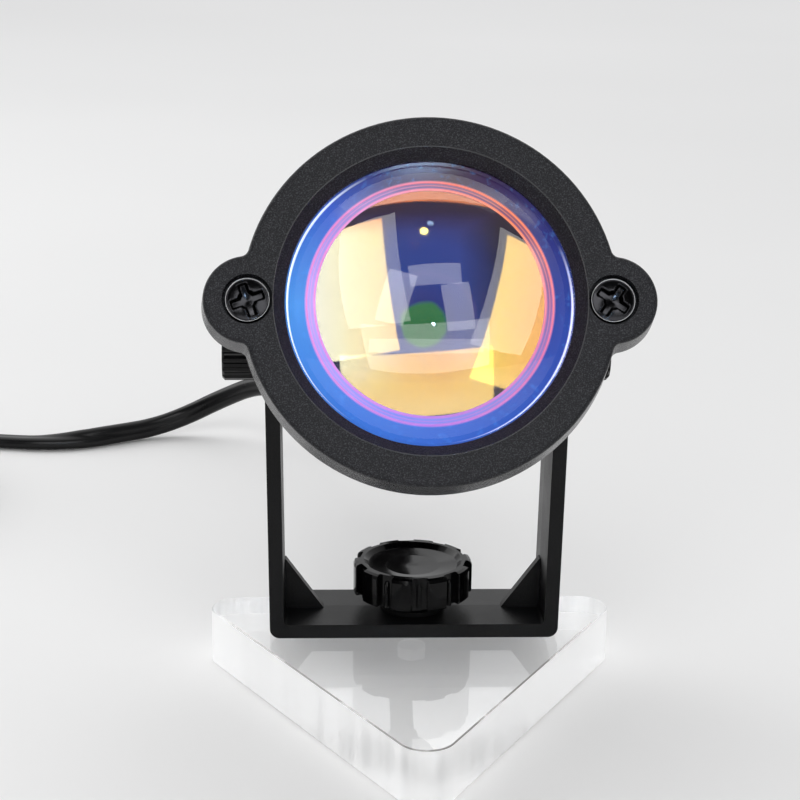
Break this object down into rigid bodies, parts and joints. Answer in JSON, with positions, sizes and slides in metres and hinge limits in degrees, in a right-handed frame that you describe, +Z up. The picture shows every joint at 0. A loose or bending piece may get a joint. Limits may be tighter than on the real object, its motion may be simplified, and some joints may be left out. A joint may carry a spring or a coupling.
{
  "type": "sunset projection lamp",
  "caption": "Table lamp: a round projector head tilts in a U bracket, which a lobed knob clamps to a clear triangular acrylic base; flat lead with a USB plug.",
  "frame": {"origin": "underside of the acrylic base, below the clamp knob's axis", "axes": "+Z up, -Y the way that the lamp shines, +X to the right seen from the front"},
  "size_m": [0.24, 0.2301, 0.125],
  "materials": {
    "acrylic": "clear polished acrylic",
    "black_plastic": "satin black moulded plastic with a fine texture",
    "knob_plastic": "half-gloss black moulded plastic",
    "bezel_plastic": "black moulded plastic with a fine sand texture",
    "steel": "zinc-plated steel",
    "black_steel": "black oxide steel",
    "black_washer": "black nylon",
    "cord_jacket": "black flexible jacket, half gloss",
    "tie_tape": "black woven hook-and-loop tape",
    "white_plastic": "white moulded plastic",
    "lens_glass": "clear polished optical glass",
    "filter_glass": "interference-coated glass",
    "soft_rubber": "soft black silicone",
    "black_aluminium": "black powder-coated die-cast aluminium",
    "bare_aluminium": "bare aluminium and grey ferrite",
    "emitter": "yellow phosphor under clear silicone",
    "circuit_board": "green circuit board",
    "wire_jacket": "insulated wire"
  },
  "bodies": {
    "stand": {"bracket": "black_plastic", "clamp_washer": "black_washer", "cord_lead": "cord_jacket", "cord_run": "cord_jacket", "cord_coil": "cord_jacket", "cord_tail": "cord_jacket", "coil_tie": "tie_tape", "plug_body": "cord_jacket", "plug_shell": "steel", "plug_tongue": "white_plastic"},
    "base": {"acrylic_base": "acrylic"},
    "clamp": {"clamp_knob": "knob_plastic", "clamp_stud": "steel"},
    "left_knob": {"left_thumb_knob": "knob_plastic", "left_pivot_screw": "steel", "left_thumb_washer": "steel"},
    "right_knob": {"right_thumb_knob": "knob_plastic", "right_pivot_screw": "steel", "right_thumb_washer": "steel"},
    "head": {"left_friction_washer": "black_washer", "right_friction_washer": "black_washer", "front_bezel": "bezel_plastic", "bezel_screws": "black_steel", "front_lens": "lens_glass", "lens_gasket": "soft_rubber", "front_barrel": "black_aluminium", "filter_spacer": "black_aluminium", "dichroic_filter": "filter_glass", "condenser_holder": "white_plastic", "condenser_lens": "lens_glass", "led_board": "bare_aluminium", "led_emitter": "emitter", "thermal_pad": "soft_rubber", "board_clamps": "steel", "board_screws": "steel", "rear_housing": "black_aluminium", "rear_cap": "black_aluminium", "driver_board": "circuit_board", "driver_inductor": "bare_aluminium", "led_wires": "wire_jacket", "cable_gland": "black_plastic", "strain_relief": "soft_rubber", "cord_end": "cord_jacket"}
  },
  "joints": [
    {"name": "base_swivel", "type": "hinge", "parent": "stand", "child": "base", "pos_m": [0, 0, 0.012], "axis": [0, 0, 1], "continuous": true},
    {"name": "head_tilt", "type": "hinge", "parent": "stand", "child": "head", "pos_m": [0, 0, 0.0708], "axis": [-1, 0, 0], "range_deg": [-54, 54], "deforming": ["cord_lead"]},
    {"name": "clamp_turn", "type": "hinge", "parent": "stand", "child": "clamp", "pos_m": [0, 0, 0.0188], "axis": [0, 0, 1], "range_deg": [0, 360]},
    {"name": "left_knob_turn", "type": "hinge", "parent": "stand", "child": "left_knob", "pos_m": [-0.035, 0, 0.0708], "axis": [-1, 0, 0], "range_deg": [0, 360]},
    {"name": "right_knob_turn", "type": "hinge", "parent": "stand", "child": "right_knob", "pos_m": [0.035, 0, 0.0708], "axis": [1, 0, 0], "range_deg": [0, 360]}
  ]
}
